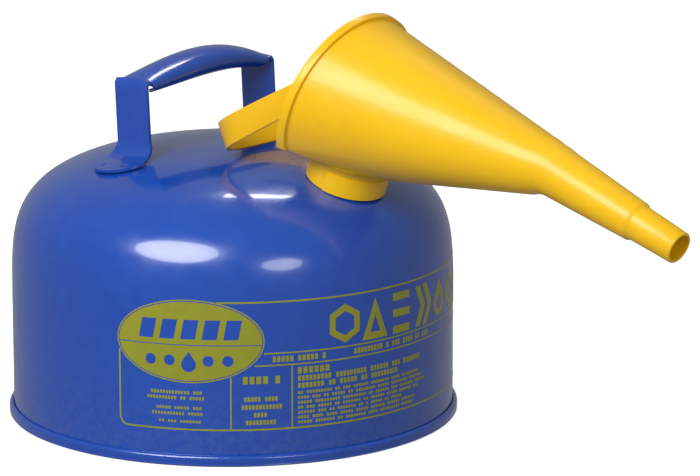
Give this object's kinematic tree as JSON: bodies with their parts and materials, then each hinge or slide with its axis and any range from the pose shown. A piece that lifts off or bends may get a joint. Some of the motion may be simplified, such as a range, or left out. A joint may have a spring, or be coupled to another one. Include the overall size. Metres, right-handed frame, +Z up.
{
  "type": "safety gas can",
  "caption": "Round steel fuel can with a domed top, a fixed strap handle, a self-closing spout lid and a lift-off pouring funnel.",
  "frame": {"origin": "centre of the bounding box, on the plane the can stands on", "axes": "+X from the can towards the funnel's nozzle, +Y along the handle's grip, +Z up"},
  "size_m": [0.4958, 0.2858, 0.2678],
  "materials": {
    "blue_enamel": "glossy blue enamel on drawn steel",
    "yellow_poly": "semi-gloss moulded yellow polyethylene",
    "bare_steel": "zinc-plated pressed steel",
    "spring_steel": "drawn spring wire",
    "brass": "plain brass",
    "black_rubber": "black nitrile rubber"
  },
  "bodies": {
    "can": {"body_shell": "blue_enamel", "bottom_pan": "blue_enamel", "handle_strap": "blue_enamel", "spout_neck": "bare_steel", "arrester_ring": "bare_steel", "arrester_outer_screen": "bare_steel", "arrester_inner_screen": "bare_steel", "arrester_end_cap": "bare_steel", "hinge_bracket": "bare_steel", "hinge_pin": "bare_steel", "pin_clip": "bare_steel", "lid_spring": "spring_steel"},
    "lid": {"lid_cap": "bare_steel", "lid_gasket": "black_rubber", "gasket_retainer": "brass", "lid_rivet": "brass", "lid_lever": "bare_steel"},
    "funnel": {"funnel_cone": "yellow_poly", "funnel_collar": "yellow_poly", "funnel_loop": "yellow_poly"}
  },
  "joints": [
    {"name": "lid_hinge", "type": "hinge", "parent": "can", "child": "lid", "pos_m": [-0.02838, 0, 0.19687], "axis": [0, -1, 0], "range_deg": [0, 38], "stiffness_Nm_per_rad": 0.08, "springref_deg": -34.38, "deforming": ["lid_spring"]},
    {"name": "funnel_lift", "type": "slide", "parent": "can", "child": "funnel", "axis": [0.3256, 0, 0.9455], "range_m": [0, 0.075]}
  ]
}
